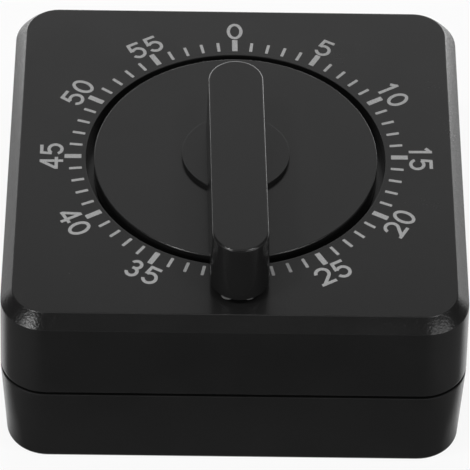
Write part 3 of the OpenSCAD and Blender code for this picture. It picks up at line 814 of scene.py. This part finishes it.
def makeCard(size):
    middle, back = size["middle"], size["back"]
    sheet = plainSheet("reflectedShadeCard", (-middle, size["front"]), (middle, back), size["height"])
    for side in (-1, 1):
        pick(sheet, "EDGE", lambda edge: all(v.co.x * side > middle - near for v in edge.verts))
        push(side * size["wing"], 0, 0)
        pick(sheet, "VERT", lambda v: v.co.x * side > middle + near and v.co.y > back - near)
        bpy.ops.transform.translate(value=(0, size["sweep"], 0))
    only(sheet)
    material, wire = startMaterial("reflectedShadeLook")
    place = wire.node("TexCoord", out="Object")
    along = wire.node("SeparateXYZ", {}, {0: place}, "Y")
    across = wire.maths("ABSOLUTE", wire.node("SeparateXYZ", {}, {0: place}, "X"))
    pale = wire.ramp(across, size["paleFrom"], size["paleTo"])
    close = wire.ramp(along, size["nearFrom"], size["nearTo"], 0.0, size["nearShare"])
    # painted reflection tones: dark ahead of the case, paler at the sides and close to the case
    tone = wire.mix(wire.maths("MAXIMUM", pale, close), grey(size["tone"]), grey(size["pale"]))
    outer = wire.maths("MAXIMUM", across - middle, 0.0)
    inward = back + (size["sweep"] / size["wing"]) * outer - along
    solid = wire.ramp(inward, 0.0, size["fade"])
    dark = wire.node("BsdfDiffuse", {}, {"Color": tone})
    endMaterial(wire, wire.node("MixShader", {}, {0: solid, 1: wire.node("BsdfTransparent"), 2: dark}))
    sheet.data.materials.append(material)
    sheet.visible_camera = False
    sheet.visible_diffuse = False
    sheet.visible_shadow = False
    sheet.visible_transmission = False
    return sheet


lamps = {
    "back": {"at": (0, 0.18, 0.027), "to": (0, 0, 0.027), "size": (0.36, 0.05), "glow": 4.0},
    "leftBack": {"at": (-0.2, 0.2, 0.046), "to": (0, 0, 0.046), "size": (0.2, 0.088), "glow": 0.9},
    "rightBack": {"at": (0.2, 0.2, 0.046), "to": (0, 0, 0.046), "size": (0.2, 0.088), "glow": 1.75},
    "backMid": {"at": (0, 0.4, 0.21), "to": (0, 0, 0.21), "size": (0.7, 0.18), "glow": 1.25},
    "backHigh": {"at": (0, 0.4, 0.42), "to": (0, 0, 0.42), "size": (0.6, 0.24), "glow": 0.58},
    "top": {"at": (0, 0, 0.7), "to": (0, 0, 0), "size": (0.6, 0.3), "glow": 0.8},
    "highLeft": {"at": (-0.264, -0.152, 0.6), "to": (0, 0, 0.03), "size": (0.09, 0.09), "glow": 41.7},
    "highRight": {"at": (0.264, -0.152, 0.6), "to": (0, 0, 0.03), "size": (0.09, 0.09), "glow": 28.0},
    "frontLeft": {"at": (-0.293, -0.387, 0.215), "to": (0, 0, 0.03), "size": (0.13, 0.13), "glow": 9.5},
    "frontRight": {"at": (0.225, -0.428, 0.22), "to": (0, 0, 0.03), "size": (0.12, 0.13), "glow": 2.9},
    "leftFront": {"at": (-0.45, -0.4, 0.15), "to": (0, 0, 0.15), "size": (0.3, 0.3), "glow": 1.5},
    "rightFront": {"at": (0.45, -0.4, 0.15), "to": (0, 0, 0.15), "size": (0.3, 0.3), "glow": 2.5},
}


def makeLamp(name, look):
    across, along = look["size"]
    light = bpy.data.lights.new("lamp." + name, "AREA")
    light.shape = "RECTANGLE"
    light.size = across
    light.size_y = along
    light.energy = look["glow"] * across * along * math.pi
    lamp = bpy.data.objects.new("lamp." + name, light)
    bpy.context.scene.collection.objects.link(lamp)
    lamp.location = look["at"]
    lamp.rotation_euler = (Vector(look["to"]) - Vector(look["at"])).to_track_quat("-Z", "Y").to_euler()
    lamp.visible_camera = False
    return lamp


room = {"glow": 0.02}


def makeRoom(size):
    world = bpy.data.worlds.new("room")
    world.use_nodes = True
    world.node_tree.nodes.clear()
    wire = Wire(world.node_tree)
    sky = wire.node("Background", {}, {"Color": grey(1.0), "Strength": size["glow"]})
    wire.node("OutputWorld", {}, {"Surface": sky})
    bpy.context.scene.world = world


makeFloor(floor)
makeCard(card)
for lampName, look in lamps.items():
    makeLamp(lampName, look)
makeRoom(room)

# camera found from the photo's edges; its offset is from the middle of the face, along its own axes
shot = {"lens": 294.6, "sensor": 36, "clip": (0.02, 20), "elevation": 45.651, "yaw": 0.762, "roll": 1.262,
        "offset": (-0.097 * mm, -11.947 * mm, 591.85 * mm)}


def makeCamera(size):
    aim = (Matrix.Rotation(math.radians(-size["yaw"]), 3, "Z")
           @ Matrix.Rotation(math.radians(90 - size["elevation"]), 3, "X")
           @ Matrix.Rotation(math.radians(size["roll"]), 3, "Z"))
    eye = bpy.data.cameras.new("camera")
    eye.lens = size["lens"]
    eye.sensor_width = size["sensor"]
    eye.clip_start, eye.clip_end = size["clip"]
    camera = bpy.data.objects.new("camera", eye)
    bpy.context.scene.collection.objects.link(camera)
    camera.rotation_euler = aim.to_euler()
    camera.location = Vector((0, 0, face)) + aim @ Vector(size["offset"])
    bpy.context.scene.camera = camera


makeCamera(shot)
bpy.context.scene.view_settings.view_transform = "Standard"
only(None)
print("stage and camera set")
